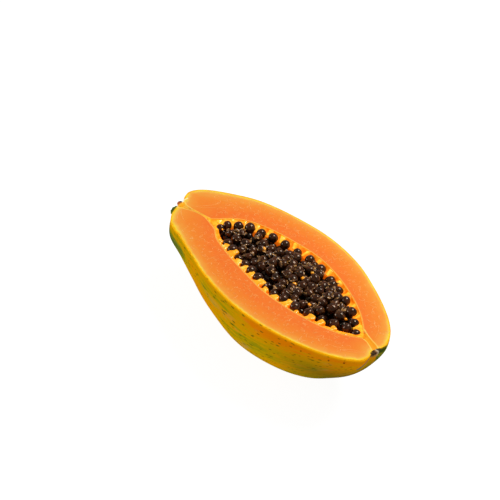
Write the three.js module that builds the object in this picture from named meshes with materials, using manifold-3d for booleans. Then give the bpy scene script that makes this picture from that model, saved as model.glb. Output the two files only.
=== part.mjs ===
// Half of a ripe papaya, cut lengthwise, lying on its back with the cut face up.
//
// Units are millimetres and +Z is up. The fruit lies along X, with its stem end at -X and its blossom end
// at +X. It is drawn about its own axis, in the plane of the cut, and then moved as a whole so that the
// small flat spot it rests on is at Z = 0. The far side is +Y and the near side is -Y.
import * as THREE from "three";
import { mergeVertices } from "three/addons/utils/BufferGeometryUtils.js";
import Module from "manifold-3d";

const wasm = await Module();
wasm.setup();

// Driving dimensions of the fruit.
const DEPTH = 60; // from the cut face to the underside, before the flat spot
const FLAT_SPOT_CUT = 1.0; // how much the fruit's own weight flattens its underside
const SECTION_POWER = 2.2; // 2 is an ellipse, and more is squarer
const SIDE_BULGE = 0.06; // how far the sides swell out below the cut
const LOBE_HEIGHT = 0.014; // the five soft ridges along the fruit, as a share of its radius
const LOBES = 5;

// One row for each ring round the fruit, from the stem hollow to the blossom hollow:
// [x of the far side, y of the far side, x of the near side, y of the near side, x of the underside, depth]
const FRUIT_RINGS = [
  [-99, 0, -99, 0, -99, 0],
  [-102, 4, -98.5, -4, -101.5, 5],
  [-106, 9, -96, -9, -104.5, 11],
  [-108.5, 16, -91.5, -15, -104, 19],
  [-104, 26, -83, -21, -97, 27],
  [-90, 38, -66, -25.5, -81, 34.5],
  [-70, 50, -45, -32, -60, 43],
  [-42, 57.5, -22, -38.5, -32, 52.5],
  [-8, 61, 8, -42.5, 0, DEPTH],
  [25, 56.5, 34, -41.5, 32, 57],
  [54, 45.5, 57, -37, 58, 48],
  [77, 33.5, 78, -29.5, 77, 35.5],
  [91, 23, 92, -21.5, 90, 24],
  [98.5, 13, 100.5, -13, 96, 14.5],
  [99.5, 6, 101, -6, 98, 7],
  [98, 0, 98, 0, 98, 0],
];
const FRUIT_STEPS = 50; // rings along the fruit
const FRUIT_SIDES = 40; // sides round the whole fruit, half of them below the cut

// The seed cavity, in the same form. Its two tips lie on the line y = 4.
const CAVITY_DEPTH = 33;
const CAVITY_RINGS = [
  [-75, 4, -75, 4, -75, 0],
  [-69, 11, -62, 1, -67, 8],
  [-65, 18, -52, -5, -58, 15],
  [-57, 25.5, -38, -9, -46, 21],
  [-42, 32, -24, -12, -32, 26],
  [-20, 36.5, -5, -15, -12, 31],
  [5, 38.5, 13, -17, 8, CAVITY_DEPTH],
  [27, 35, 32, -16, 30, 32],
  [47, 28.5, 48, -13.5, 48, 28],
  [64, 20.5, 62, -10, 64, 21],
  [77, 11.5, 75, -4.5, 78, 11],
  [86, 4, 86, 4, 86, 0],
];
const CAVITY_STEPS = 32;
const CAVITY_SIDES = 20;
const LEDGE_WIDTH = 5; // the pulpy ledge left round the mouth of the cavity
const LEDGE_DEPTH = 4.3;
const LEDGE_POWER = 4; // a flat-bottomed pan
const TOUCH_GAP = 0.4; // between pieces that touch

// Seeds.
const SEED_LENGTH = 7.4;
const SEED_THICKNESS = 6.5;
const SEED_SIZE_SPREAD = 0.14;
const SEED_SWELL = 1.07; // makes up for the flat faces of a seed
const SEED_LEVEL = -3.4; // middle of a seed at the cavity's edge, from the cut face
const SEED_MOUND = 0.7; // how much higher the seeds lie in the middle
const SEED_RISE = 1.1; // how much a seed strays up or down
const FAR_SEED_STEP = 11; // mean spacing in the row along the far edge
const FAR_SEED_SHIFT = 0.4; // how far the row is moved towards the blossom end, in steps
const FAR_SEED_SWELL = 0.15; // how much the spacing shrinks and grows along the row
const FAR_SEED_CLOSEST = 0.15; // the share of the row at which the spacing is least
const FAR_SEED_INSET = 4.6;
const FAR_SEED_EXTRA = 0.06; // how much larger the seeds in that row are
const NEAR_SEED_INSET = 6.2;
const LOOSE_SEED_STEP = 7.4; // spacing of the others, which lie in staggered rows
const LOOSE_SEED_ROW = 6.3;
const LOOSE_SEED_STRAY = 1.1; // how far a seed strays from its place in the row
const LOOSE_SEED_INSET = 5.2; // from the far edge
const LOOSE_SEED_NEAR_INSET = 5.9;
const LEAST_SEED_SPACING = 5.7;
const TIP_SEED = [-62.5, 6.3]; // a seed alone in the stem end's tip
const BLOSSOM_INSET = 4; // how much further from the near edge the seeds lie at the blossom end
const BLOSSOM_FROM_X = 38;
const BLOSSOM_TO_X = 56;
const HOLLOW_MIDDLE_X = 8;
const STRING_FROM = 46; // seeds further than this from the middle are tied to the next one inwards
const STRING_RADIUS = 0.8;
const STRING_LEVEL = -1.2;
const SEED_BED_LEVEL = -4.6; // top of the dark bed that the seeds stand out of
const RANDOM_SEED = 20260;

// The pulp stubs that the seeds hung from. On the near edge: [x, length, radius, sideways lean as a slope].
const NEAR_STUBS = [
  [-49, 3.5, 1.8, 0],
  [-42, 5.5, 2.2, 0],
  [-33, 9, 2.5, -0.12],
  [-23.5, 5.2, 2.5, -0.05],
  [-15.5, 6.4, 2.1, 0.25],
  [-7.5, 6.6, 2.3, 0.12],
  [1, 7.6, 2.4, 0.35],
  [10.5, 4.8, 2.1, 0.1],
  [20, 5.2, 2, 0.15],
  [29.5, 8.4, 2.6, 0.2],
  [40.5, 3.6, 1.5, 0.1],
  [49, 7, 2.1, 0.1],
  [57.5, 7, 1.8, 0.1],
  [66.5, 5.8, 1.8, 0.1],
  [75, 3.2, 1.2, 0.1],
];
const STUB_SIDES = 6;
const STUB_ROOT = 3; // how far a stub is sunk into the flesh
const STUB_SPREAD = 1.2; // how much wider than high a stub is
const STUB_LEVEL = -1.8; // axis of a stub at its root, from the cut face
const STUB_TIP_RISE = 0.7;
const STUB_FLARE = 1.5; // how much wider a stub is at its root
const SLIM_STUBS_FROM_X = 40; // from here to the blossom end the stubs' roots are slimmer
const SLIM_FLARE = 1.15;
const FAR_STRAND_LENGTH = 4.4; // the thinner strands of the far edge stand between its seeds
const FAR_STRAND_RADIUS = 1.2;

// The dried stalk in the stem hollow, and the flower's scar at the other end.
const STALK_RADIUS = 2.7;
const STALK_ROOT_X = -96;
const STALK_TIP_X = -103;
const SCAR_POINTS = 5;
const SCAR_RADIUS = 4.8;
const SCAR_WAIST = 3.5;
const SCAR_ROOT_X = 97;
const SCAR_TIP_X = 100.6;
const SCAR_Y = 1.2;

const COLOURS = {
  fruit: 0xf58a2e,
  seeds: 0x2a1711,
  stalk: 0x8a5a33,
  scar: 0x3b2a1c,
};

// A closed three.js geometry as a manifold-3d solid.
function solid(geometry) {
  const bare = geometry.clone();
  bare.deleteAttribute("normal");
  bare.deleteAttribute("uv");
  const merged = mergeVertices(bare, 1e-4);
  return new wasm.Manifold(
    new wasm.Mesh({
      numProp: 3,
      vertProperties: new Float32Array(merged.attributes.position.array),
      triVerts: new Uint32Array(merged.index.array),
    }),
  );
}

// A manifold-3d solid as a named three.js mesh.
function meshOf(name, body, material) {
  const mesh = body.getMesh();
  const position = new Float32Array(mesh.numVert * 3);
  for (let i = 0; i < mesh.numVert; i++) {
    const start = i * mesh.numProp;
    position.set(mesh.vertProperties.subarray(start, start + 3), i * 3);
  }
  const geometry = new THREE.BufferGeometry()
    .setAttribute("position", new THREE.BufferAttribute(position, 3))
    .setIndex(new THREE.BufferAttribute(mesh.triVerts, 1));
  geometry.computeVertexNormals();
  const made = new THREE.Mesh(geometry, material);
  made.name = name;
  return made;
}

// Three smooth curves through a table of rings: along the far side, the near side and the underside.
function curvesThrough(rings) {
  const curve = (column) =>
    new THREE.SplineCurve(rings.map((row) => new THREE.Vector2(row[column], row[column + 1])));
  return { far: curve(0), near: curve(2), under: curve(4) };
}

// The point at u along the curves and at an angle round them, where 0 is the far side and a quarter turn
// is the underside. The section is a superellipse of the given power.
function surfacePoint(curves, u, angle, { power, bulge, lobes }) {
  const far = curves.far.getPoint(u);
  const near = curves.near.getPoint(u);
  const under = curves.under.getPoint(u);
  const across = Math.cos(angle);
  const down = Math.sin(angle);
  const side = across > 0 ? far : near;
  const round = (Math.abs(across) ** power + Math.abs(down) ** power) ** (-1 / power);
  const reach = round * (1 + lobes * down * down * Math.cos(LOBES * (angle - Math.PI / 2)));
  const halfWidth = (far.y - near.y) / 2;
  return new THREE.Vector3(
    side.x * across * across + under.x * down * down,
    (far.y + near.y) / 2 + halfWidth * across * reach * (1 + bulge * Math.abs(down)),
    -under.y * down * reach,
  );
}

// A closed surface through a table of rings, with a single point at each end.
function loft(rings, steps, sides, shape) {
  const curves = curvesThrough(rings);
  const points = [surfacePoint(curves, 0, 0, shape)];
  for (let i = 1; i < steps; i++)
    for (let j = 0; j < sides; j++)
      points.push(surfacePoint(curves, i / steps, (2 * Math.PI * j) / sides, shape));
  points.push(surfacePoint(curves, 1, 0, shape));
  const last = points.length - 1;
  const at = (i, j) => 1 + (i - 1) * sides + (j % sides);
  const index = [];
  for (let j = 0; j < sides; j++) {
    index.push(0, at(1, j), at(1, j + 1));
    index.push(last, at(steps - 1, j + 1), at(steps - 1, j));
    for (let i = 1; i < steps - 1; i++) {
      index.push(at(i, j), at(i + 1, j + 1), at(i, j + 1));
      index.push(at(i, j), at(i + 1, j), at(i + 1, j + 1));
    }
  }
  return new THREE.BufferGeometry().setFromPoints(points).setIndex(index);
}

// The rings drawn in by a margin on every side, for a room inside a room.
function drawnIn(rings, margin, depthScale = 1) {
  const middle = (rings[0][0] + rings.at(-1)[0]) / 2;
  const half = middle - rings[0][0];
  const squeeze = (x) => middle + ((x - middle) * (half - 1.3 * margin)) / half;
  return rings.map(([farX, farY, nearX, nearY, underX, depth]) => {
    const inwards = Math.min(margin, (farY - nearY) / 2);
    return [
      squeeze(farX), farY - inwards,
      squeeze(nearX), nearY + inwards,
      squeeze(underX), Math.max(0, depth - margin) * depthScale,
    ];
  });
}

// The cavity: a wide shallow pan over a deep hollow, each drawn in by the margin.
function cavityRoom(margin) {
  const pan = drawnIn(CAVITY_RINGS, margin, (LEDGE_DEPTH - margin) / CAVITY_DEPTH);
  const deep = drawnIn(CAVITY_RINGS, LEDGE_WIDTH + margin);
  const plain = { bulge: 0, lobes: 0 };
  return solid(loft(pan, CAVITY_STEPS, CAVITY_SIDES, { power: LEDGE_POWER, ...plain })).add(
    solid(loft(deep, CAVITY_STEPS, CAVITY_SIDES, { power: 2, ...plain })),
  );
}

// The part of a solid that lies below the cut face, or below another level.
const below = (body, level = 0) => body.trimByPlane([0, 0, -1], -level);

// Walks along the cavity's far edge in even steps, and returns each point and its inward direction. The
// shift moves all the points on by a share of a step.
function walkFarEdge(shift) {
  const curve = curvesThrough(CAVITY_RINGS).far;
  const found = [];
  const count = Math.floor(curve.getLength() / FAR_SEED_STEP);
  for (let i = 1; i < count; i++) {
    const even = (i + shift) / count;
    const swing = Math.sin(2 * Math.PI * (even - FAR_SEED_CLOSEST)) + Math.sin(2 * Math.PI * FAR_SEED_CLOSEST);
    const u = even - (FAR_SEED_SWELL / (2 * Math.PI)) * swing;
    const point = curve.getPointAt(u);
    const along = curve.getTangentAt(u);
    found.push({ point, inward: new THREE.Vector2(along.y, -along.x) });
  }
  return found;
}

// The height y of an edge curve at a place x along the fruit.
function edgeAt(curve, x) {
  let low = 0;
  let high = 1;
  for (let i = 0; i < 40; i++) {
    const middle = (low + high) / 2;
    if (curve.getPoint(middle).x < x) low = middle;
    else high = middle;
  }
  return curve.getPoint(low).y;
}

// The least y of a seed at x, which is the given inset from the near edge, or more at the blossom end.
function leastSeedY(near, x, inset) {
  const share = THREE.MathUtils.clamp((x - BLOSSOM_FROM_X) / (BLOSSOM_TO_X - BLOSSOM_FROM_X), 0, 1);
  return edgeAt(near, x) + inset + BLOSSOM_INSET * share;
}

// A repeatable stream of numbers from 0 to 1.
function randomStream(state) {
  return () => {
    state = (Math.imul(1664525, state) + 1013904223) >>> 0;
    return state / 4294967296;
  };
}

// Where the seeds lie: a row along the far edge, one between each two stubs of the near edge, and the
// rest between them in staggered rows that they stray from.
function seedPlaces() {
  const random = randomStream(RANDOM_SEED);
  const { far, near } = curvesThrough(CAVITY_RINGS);
  const places = walkFarEdge(FAR_SEED_SHIFT).map(({ point, inward }) =>
    point.clone().addScaledVector(inward, FAR_SEED_INSET),
  );
  const farRow = places.length;
  places.push(new THREE.Vector2(...TIP_SEED));
  for (let i = 1; i < NEAR_STUBS.length; i++) {
    const x = (NEAR_STUBS[i - 1][0] + NEAR_STUBS[i][0]) / 2;
    places.push(new THREE.Vector2(x, leastSeedY(near, x, NEAR_SEED_INSET)));
  }
  const [low, high] = [CAVITY_RINGS[6][3], CAVITY_RINGS[6][1]];
  for (let row = 0; low + row * LOOSE_SEED_ROW < high; row++) {
    const start = CAVITY_RINGS[0][0] + (row % 2) * (LOOSE_SEED_STEP / 2);
    for (let x = start; x < CAVITY_RINGS.at(-1)[0]; x += LOOSE_SEED_STEP) {
      const place = new THREE.Vector2(
        x + LOOSE_SEED_STRAY * (2 * random() - 1),
        low + row * LOOSE_SEED_ROW + LOOSE_SEED_STRAY * (2 * random() - 1),
      );
      const inside =
        place.x > CAVITY_RINGS[2][0] &&
        place.x < CAVITY_RINGS.at(-2)[0] &&
        place.y > leastSeedY(near, place.x, LOOSE_SEED_NEAR_INSET) &&
        place.y < edgeAt(far, place.x) - LOOSE_SEED_INSET;
      const free = places.every((other) => other.distanceTo(place) >= LEAST_SEED_SPACING);
      if (inside && free) places.push(place);
    }
  }
  return places.map((place, number) => {
    const low = edgeAt(near, place.x);
    const high = edgeAt(far, place.x);
    const middleness = 1 - Math.abs((2 * place.y - low - high) / (high - low)) ** 2;
    return {
      position: new THREE.Vector3(
        place.x,
        place.y,
        SEED_LEVEL + SEED_MOUND * middleness + SEED_RISE * (2 * random() - 1),
      ),
      scale: 1 + (number < farRow ? FAR_SEED_EXTRA : 0) + SEED_SIZE_SPREAD * (2 * random() - 1),
      turn: new THREE.Euler(0, Math.PI * (random() - 0.5), 2 * Math.PI * random(), "ZYX"),
    };
  });
}

// One seed, longest along its own X.
function seedSolid({ position, scale, turn }) {
  const seed = new THREE.IcosahedronGeometry(SEED_SWELL / 2);
  seed.scale(SEED_LENGTH * scale, SEED_THICKNESS * scale, SEED_THICKNESS * scale);
  const place = new THREE.Matrix4().makeRotationFromEuler(turn).setPosition(position);
  return solid(seed.applyMatrix4(place));
}

// A rod with a rounded tip, from a point on an edge of the cavity inwards.
function stubSolid(start, inward, length, radius, flare, extra = 0) {
  const profile = [
    [0, -STUB_ROOT],
    [radius * flare, -STUB_ROOT],
    [radius * flare, 0],
    [radius, length * 0.35],
    [radius, length * 0.75],
    [radius * 0.62, length],
    [0, length + radius * 0.2],
  ];
  const rod = new THREE.LatheGeometry(
    profile.map(([r, h]) => new THREE.Vector2(r && r + extra, h < length * 0.9 ? h : h + extra)),
    STUB_SIDES,
  );
  rod.scale(STUB_SPREAD, 1, 1);
  const direction = new THREE.Vector3(inward.x, inward.y, STUB_TIP_RISE / length).normalize();
  const turn = new THREE.Quaternion().setFromUnitVectors(new THREE.Vector3(0, 1, 0), direction);
  rod.applyQuaternion(turn);
  rod.translate(start.x, start.y, STUB_LEVEL);
  return solid(rod);
}

// All the stubs and strands of the cavity's edges, each made thicker by the extra.
function stubSolids(extra = 0) {
  const { near } = curvesThrough(CAVITY_RINGS);
  const stubs = NEAR_STUBS.map(([x, length, radius, lean]) => {
    const start = new THREE.Vector2(x, edgeAt(near, x));
    const flare = x < SLIM_STUBS_FROM_X ? STUB_FLARE : SLIM_FLARE;
    return stubSolid(start, new THREE.Vector2(lean, 1), length, radius, flare, extra);
  });
  const strands = walkFarEdge(FAR_SEED_SHIFT - 0.5).map(({ point, inward }) =>
    stubSolid(point, inward, FAR_STRAND_LENGTH, FAR_STRAND_RADIUS, STUB_FLARE, extra),
  );
  return wasm.Manifold.union([...stubs, ...strands]).trimByPlane([0, 0, -1], -extra);
}

// The stalk's stump, which stands in the stem hollow along -X.
function stalkSolid(extra = 0) {
  const r = STALK_RADIUS + extra;
  const length = STALK_ROOT_X - STALK_TIP_X + extra;
  const profile = [
    [0, -extra],
    [r * 0.9, -extra],
    [r * 0.92, length * 0.6],
    [r * 1.15, length * 0.85],
    [r * 1.05, length],
    [r * 0.55, length * 0.96],
    [0, length * 0.9],
  ];
  const stump = new THREE.LatheGeometry(profile.map(([x, y]) => new THREE.Vector2(x, y)), 14);
  stump.rotateZ(Math.PI / 2);
  stump.translate(STALK_ROOT_X, 0, 0);
  return solid(stump);
}

// The flower's scar: a low five-pointed button at the blossom end.
function scarSolid(extra = 0) {
  const outline = new THREE.Shape();
  for (let i = 0; i < 2 * SCAR_POINTS; i++) {
    const angle = (Math.PI * (i + 0.5)) / SCAR_POINTS;
    const radius = (i % 2 ? SCAR_WAIST : SCAR_RADIUS) + extra;
    const move = i ? "lineTo" : "moveTo";
    outline[move](radius * Math.cos(angle), radius * Math.sin(angle));
  }
  const button = new THREE.ExtrudeGeometry(outline, {
    depth: SCAR_TIP_X - SCAR_ROOT_X + 2 * extra,
    bevelEnabled: true,
    bevelThickness: 0.8,
    bevelSize: 0.7,
    bevelSegments: 1,
  });
  button.rotateY(Math.PI / 2);
  button.translate(SCAR_ROOT_X - extra, SCAR_Y, 0);
  return solid(button);
}

// Thin strings of seed skin, each of which ties an outer seed to the next one inwards.
function stringSolids() {
  const tops = seedPlaces().map(({ position }) => new THREE.Vector3(position.x, position.y, STRING_LEVEL));
  const offMiddle = (point) => Math.abs(point.x - HOLLOW_MIDDLE_X);
  const strings = tops
    .filter((point) => offMiddle(point) > STRING_FROM)
    .map((point) => {
      const inner = tops.filter((other) => offMiddle(other) < offMiddle(point) - SEED_THICKNESS / 3);
      const next = inner.reduce((best, other) =>
        other.distanceTo(point) < best.distanceTo(point) ? other : best,
      );
      const rod = new THREE.CylinderGeometry(STRING_RADIUS, STRING_RADIUS, point.distanceTo(next), 6);
      const direction = next.clone().sub(point).normalize();
      rod.applyQuaternion(new THREE.Quaternion().setFromUnitVectors(new THREE.Vector3(0, 1, 0), direction));
      return solid(rod.translate(...point.clone().lerp(next, 0.5).toArray()));
    });
  return wasm.Manifold.union(strings);
}

// The largest connected piece of a solid: scraps cut loose by a stub are dropped.
const mainBody = (body) =>
  body.decompose().reduce((best, piece) => (piece.volume() > best.volume() ? piece : best));

function fruitBody() {
  const shape = { power: SECTION_POWER, bulge: SIDE_BULGE, lobes: LOBE_HEIGHT };
  const whole = solid(loft(FRUIT_RINGS, FRUIT_STEPS, FRUIT_SIDES, shape));
  const flat = whole.trimByPlane([0, 0, 1], -(DEPTH - FLAT_SPOT_CUT));
  const hollowed = flat.subtract(cavityRoom(0)).add(stubSolids().intersect(flat));
  const pockets = stalkSolid(TOUCH_GAP).add(scarSolid(TOUCH_GAP));
  return mainBody(below(hollowed).subtract(pockets));
}

function seedBody() {
  const room = cavityRoom(TOUCH_GAP).intersect(cavityRoom(0));
  const bed = below(room, SEED_BED_LEVEL);
  const seeds = wasm.Manifold.union(seedPlaces().map(seedSolid));
  return mainBody(seeds.add(bed).add(stringSolids()).intersect(room).subtract(stubSolids(TOUCH_GAP)));
}

const material = (name, roughness) =>
  new THREE.MeshStandardMaterial({ color: COLOURS[name], roughness, metalness: 0, flatShading: true });

const papaya = new THREE.Group();
papaya.add(
  meshOf("papaya_half", fruitBody(), material("fruit", 0.55)),
  meshOf("seeds", seedBody(), material("seeds", 0.3)),
  meshOf("stalk_stump", below(stalkSolid()), material("stalk", 0.85)),
  meshOf("blossom_scar", below(scarSolid()), material("scar", 0.9)),
);

// The origin is under the middle of the whole, on the surface that it rests on.
const box = new THREE.Box3().setFromObject(papaya);
const middle = box.getCenter(new THREE.Vector3());
papaya.position.set(-middle.x, -middle.y, -box.min.z);

export default papaya;
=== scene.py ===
"""Half of a ripe papaya, cut lengthwise and lying on its back, in soft studio light.

The fruit is drawn about its own axis in millimetres, in the plane of the cut, and then moved into the
model's frame. The far side is +Y, the stem end is at -X, and the cut faces up.
"""

import math

import bpy
import numpy as np
from mathutils import Euler, Matrix, Vector, noise


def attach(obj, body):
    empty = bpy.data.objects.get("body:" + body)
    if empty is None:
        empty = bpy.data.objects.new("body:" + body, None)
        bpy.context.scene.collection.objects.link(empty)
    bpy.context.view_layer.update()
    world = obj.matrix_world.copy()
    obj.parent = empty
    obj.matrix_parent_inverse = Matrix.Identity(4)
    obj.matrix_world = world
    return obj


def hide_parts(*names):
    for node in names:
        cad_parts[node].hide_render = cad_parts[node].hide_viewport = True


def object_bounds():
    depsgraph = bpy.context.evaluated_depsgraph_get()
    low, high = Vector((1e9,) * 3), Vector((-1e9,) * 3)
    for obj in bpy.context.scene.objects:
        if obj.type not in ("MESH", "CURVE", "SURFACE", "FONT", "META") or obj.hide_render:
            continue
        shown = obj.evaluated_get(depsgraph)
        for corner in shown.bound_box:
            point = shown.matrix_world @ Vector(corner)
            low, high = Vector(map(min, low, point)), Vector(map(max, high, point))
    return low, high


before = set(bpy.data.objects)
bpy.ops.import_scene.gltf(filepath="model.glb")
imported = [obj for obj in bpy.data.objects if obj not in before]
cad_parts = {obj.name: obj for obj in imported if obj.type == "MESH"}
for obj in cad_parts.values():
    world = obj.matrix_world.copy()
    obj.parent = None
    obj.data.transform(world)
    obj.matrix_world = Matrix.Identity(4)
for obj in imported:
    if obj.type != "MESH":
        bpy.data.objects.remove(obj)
cad_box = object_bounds()

# The move from the fruit's own axis, in the plane of the cut, to the model's frame.
AXIS_AT = np.array([3.5156, -9.138, 59.0])
MM = 0.001
BOX_MARGIN = 0.05  # how far the fine surfaces stay within the solid model's box

# Shapes, as in the solid model.
DEPTH = 60.0
FLAT_SPOT_CUT = 1.0
SECTION_POWER = 2.2
SIDE_BULGE = 0.06
LOBE_HEIGHT = 0.014
LOBES = 5
# Far side x and y, near side x and y, underside x and depth.
FRUIT_RINGS = np.array([
    [-99, 0, -99, 0, -99, 0],
    [-102, 4, -98.5, -4, -101.5, 5],
    [-106, 9, -96, -9, -104.5, 11],
    [-108.5, 16, -91.5, -15, -104, 19],
    [-104, 26, -83, -21, -97, 27],
    [-90, 38, -66, -25.5, -81, 34.5],
    [-70, 50, -45, -32, -60, 43],
    [-42, 57.5, -22, -38.5, -32, 52.5],
    [-8, 61, 8, -42.5, 0, DEPTH],
    [25, 56.5, 34, -41.5, 32, 57],
    [54, 45.5, 57, -37, 58, 48],
    [77, 33.5, 78, -29.5, 77, 35.5],
    [91, 23, 92, -21.5, 90, 24],
    [98.5, 13, 100.5, -13, 96, 14.5],
    [99.5, 6, 101, -6, 98, 7],
    [98, 0, 98, 0, 98, 0],
])
CAVITY_DEPTH = 33.0
CAVITY_RINGS = np.array([
    [-75, 4, -75, 4, -75, 0],
    [-69, 11, -62, 1, -67, 8],
    [-65, 18, -52, -5, -58, 15],
    [-57, 25.5, -38, -9, -46, 21],
    [-42, 32, -24, -12, -32, 26],
    [-20, 36.5, -5, -15, -12, 31],
    [5, 38.5, 13, -17, 8, CAVITY_DEPTH],
    [27, 35, 32, -16, 30, 32],
    [47, 28.5, 48, -13.5, 48, 28],
    [64, 20.5, 62, -10, 64, 21],
    [77, 11.5, 75, -4.5, 78, 11],
    [86, 4, 86, 4, 86, 0],
])
LEDGE_WIDTH = 5.0
LEDGE_DEPTH = 4.3
LEDGE_POWER = 4
SEED_LENGTH = 7.4
SEED_THICKNESS = 6.5
SEED_SIZE_SPREAD = 0.14
SEED_LEVEL = -3.4
SEED_MOUND = 0.7
SEED_RISE = 1.1
FAR_SEED_STEP = 11.0
FAR_SEED_SHIFT = 0.4
FAR_SEED_SWELL = 0.15
FAR_SEED_CLOSEST = 0.15
FAR_SEED_INSET = 4.6
FAR_SEED_EXTRA = 0.06
NEAR_SEED_INSET = 6.2
LOOSE_SEED_STEP = 7.4
LOOSE_SEED_ROW = 6.3
LOOSE_SEED_STRAY = 1.1
LOOSE_SEED_INSET = 5.2
LOOSE_SEED_NEAR_INSET = 5.9
LEAST_SEED_SPACING = 5.7
TIP_SEED = (-62.5, 6.3)
BLOSSOM_INSET = 4.0
BLOSSOM_X = (38.0, 56.0)
SEED_BED_LEVEL = -4.6
BED_SINK = 2.6
BURIED_SEED_STEP = 6.6
BURIED_SEED_LEVEL = -6.6
BURIED_DRAW = 99
RANDOM_SEED = 20260
# Stubs of pulp on the near edge: x, length, radius, sideways lean.
NEAR_STUBS = [
    [-49, 3.5, 1.8, 0],
    [-42, 5.5, 2.2, 0],
    [-33, 9, 2.5, -0.12],
    [-23.5, 5.2, 2.5, -0.05],
    [-15.5, 6.4, 2.1, 0.25],
    [-7.5, 6.6, 2.3, 0.12],
    [1, 7.6, 2.4, 0.35],
    [10.5, 4.8, 2.1, 0.1],
    [20, 5.2, 2, 0.15],
    [29.5, 8.4, 2.6, 0.2],
    [40.5, 3.6, 1.5, 0.1],
    [49, 7, 2.1, 0.1],
    [57.5, 7, 1.8, 0.1],
    [66.5, 5.8, 1.8, 0.1],
    [75, 3.2, 1.2, 0.1],
]
STUB_ROOT = 3.0
STUB_SPREAD = 1.2
STUB_LEVEL = -1.8
STUB_TIP_RISE = 0.7
STUB_TOP = -0.2
STUB_SIDES = 18
STUB_FLARE = 1.5
SLIM_STUBS_FROM_X = 40
SLIM_FLARE = 1.15
FAR_STRAND_LENGTH = 4.4
FAR_STRAND_RADIUS = 1.2
FAR_STRAND_TOP = -0.5
FAR_STRAND_SIDES = 14
STALK_RADIUS = 2.7
STALK_ROOT_X = -96.0
STALK_TIP_X = -103.0
SCAR_RADIUS = 4.8
SCAR_X = (98.3, 101.0)
SCAR_Y = 1.2

# Marks on the skin: how far along the fruit, and the angle below the near rim in radians.
GIRTH_RADIUS = 48.0
VEIN = [(0.985, 0.1), (0.965, 0.28), (0.945, 0.4), (0.92, 0.5), (0.89, 0.58), (0.86, 0.68)]
SCAR_PATCH = [(0.9, 2.95), (0.93, 2.85)]
NOTCH_LIP = [(-100.3, 2.2, 0), (-102.3, 5, 0), (-102.6, 8.5, 0)]
RIM_DOTS = [
    (0.50, 0.16), (0.545, 0.13), (0.575, 0.14), (0.602, 0.12), (0.63, 0.13), (0.668, 0.13), (0.70, 0.12),
    (0.725, 0.17), (0.765, 0.15), (0.81, 0.16), (0.46, 0.2), (0.42, 0.15), (0.385, 0.2),
]
# Bundles of vessels at the two ends: x, y and half width.
BUNDLES = [
    [(-99, -0.8, 4.7), (-95, 0.2, 2.4), (-91, 1.4, 1.5), (-86, 3, 0.9), (-80, 4.3, 0.7), (-74, 5.2, 1.2)],
    [(99.5, 1.6, 2.4), (95, 3.4, 2.3), (90, 4.8, 2), (85, 5.6, 2.5), (80, 6, 3.9)],
]
OFF_BUNDLES = 9.0

# The relief of the cut face.
CUT_SINK = 0.06
CUT_RELIEF = 0.1
CUT_RELIEF_SIZE = 5.0
STEM_GROOVE = 0.2
BLOSSOM_GROOVE = 0.45
PIT_EDGE_DIP = 0.35

# How finely the surfaces are drawn.
ALONG = 260
AROUND = 110
CUT_RINGS = 44
CAVITY_ACROSS = 60


# Curves and surfaces.


def spline(points, u):
    """A smooth curve through the points, at the places u from 0 to 1."""
    u = np.asarray(u, float)
    last = len(points) - 1
    place = last * u
    i = np.clip(np.floor(place).astype(int), 0, last)
    w = (place - i)[..., None]
    p0, p1 = points[np.maximum(i - 1, 0)], points[i]
    p2, p3 = points[np.minimum(i + 1, last)], points[np.minimum(i + 2, last)]
    v0, v1 = (p2 - p0) / 2, (p3 - p1) / 2
    return (2 * p1 - 2 * p2 + v0 + v1) * w**3 + (-3 * p1 + 3 * p2 - 2 * v0 - v1) * w**2 + v0 * w + p1


def fruit_surface(u, angle):
    """The skin, in the plane of the cut's frame: angle 0 is the far side and a quarter turn is below."""
    far = spline(FRUIT_RINGS[:, 0:2], u)
    near = spline(FRUIT_RINGS[:, 2:4], u)
    under = spline(FRUIT_RINGS[:, 4:6], u)
    across, down = np.cos(angle), np.sin(angle)
    side_x = np.where(across > 0, far[..., 0], near[..., 0])
    power = SECTION_POWER
    reach = (np.abs(across) ** power + np.abs(down) ** power) ** (-1 / power)
    reach = reach * (1 + LOBE_HEIGHT * down**2 * np.cos(LOBES * (angle - math.pi / 2)))
    half = (far[..., 1] - near[..., 1]) / 2
    middle = (far[..., 1] + near[..., 1]) / 2
    x = side_x * across**2 + under[..., 0] * down**2
    y = middle + half * across * reach * (1 + SIDE_BULGE * np.abs(down))
    z = -under[..., 1] * down * reach
    return np.stack([x, y, z], -1)


def wobble(points, size, seed=0.0):
    """Smooth noise from -1 to 1 at each point, with features of the given size."""
    shift = Vector((seed * 17.3, seed * 5.1, seed * 29.7))
    flat = np.asarray(points, float).reshape(-1, 3) / size
    values = [noise.noise(Vector(p) + shift) for p in flat]
    return np.array(values).reshape(np.asarray(points).shape[:-1])


def smoothstep(low, high, x):
    t = np.clip((np.asarray(x, float) - low) / (high - low), 0, 1)
    return t * t * (3 - 2 * t)


def loop_distance(points, loop):
    """Distance in the plane of the cut from each point to a closed loop."""
    a = loop[:, :2]
    b = np.roll(a, -1, 0)
    ab = b - a
    length2 = np.maximum((ab**2).sum(1), 1e-9)
    best = np.full(len(points), 1e9)
    for start, step, size in zip(a, ab, length2):
        t = np.clip(((points[:, :2] - start) @ step) / size, 0, 1)
        gap = np.hypot(*(points[:, :2] - start - t[:, None] * step).T)
        best = np.minimum(best, gap)
    return best


# Making pieces.


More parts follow.
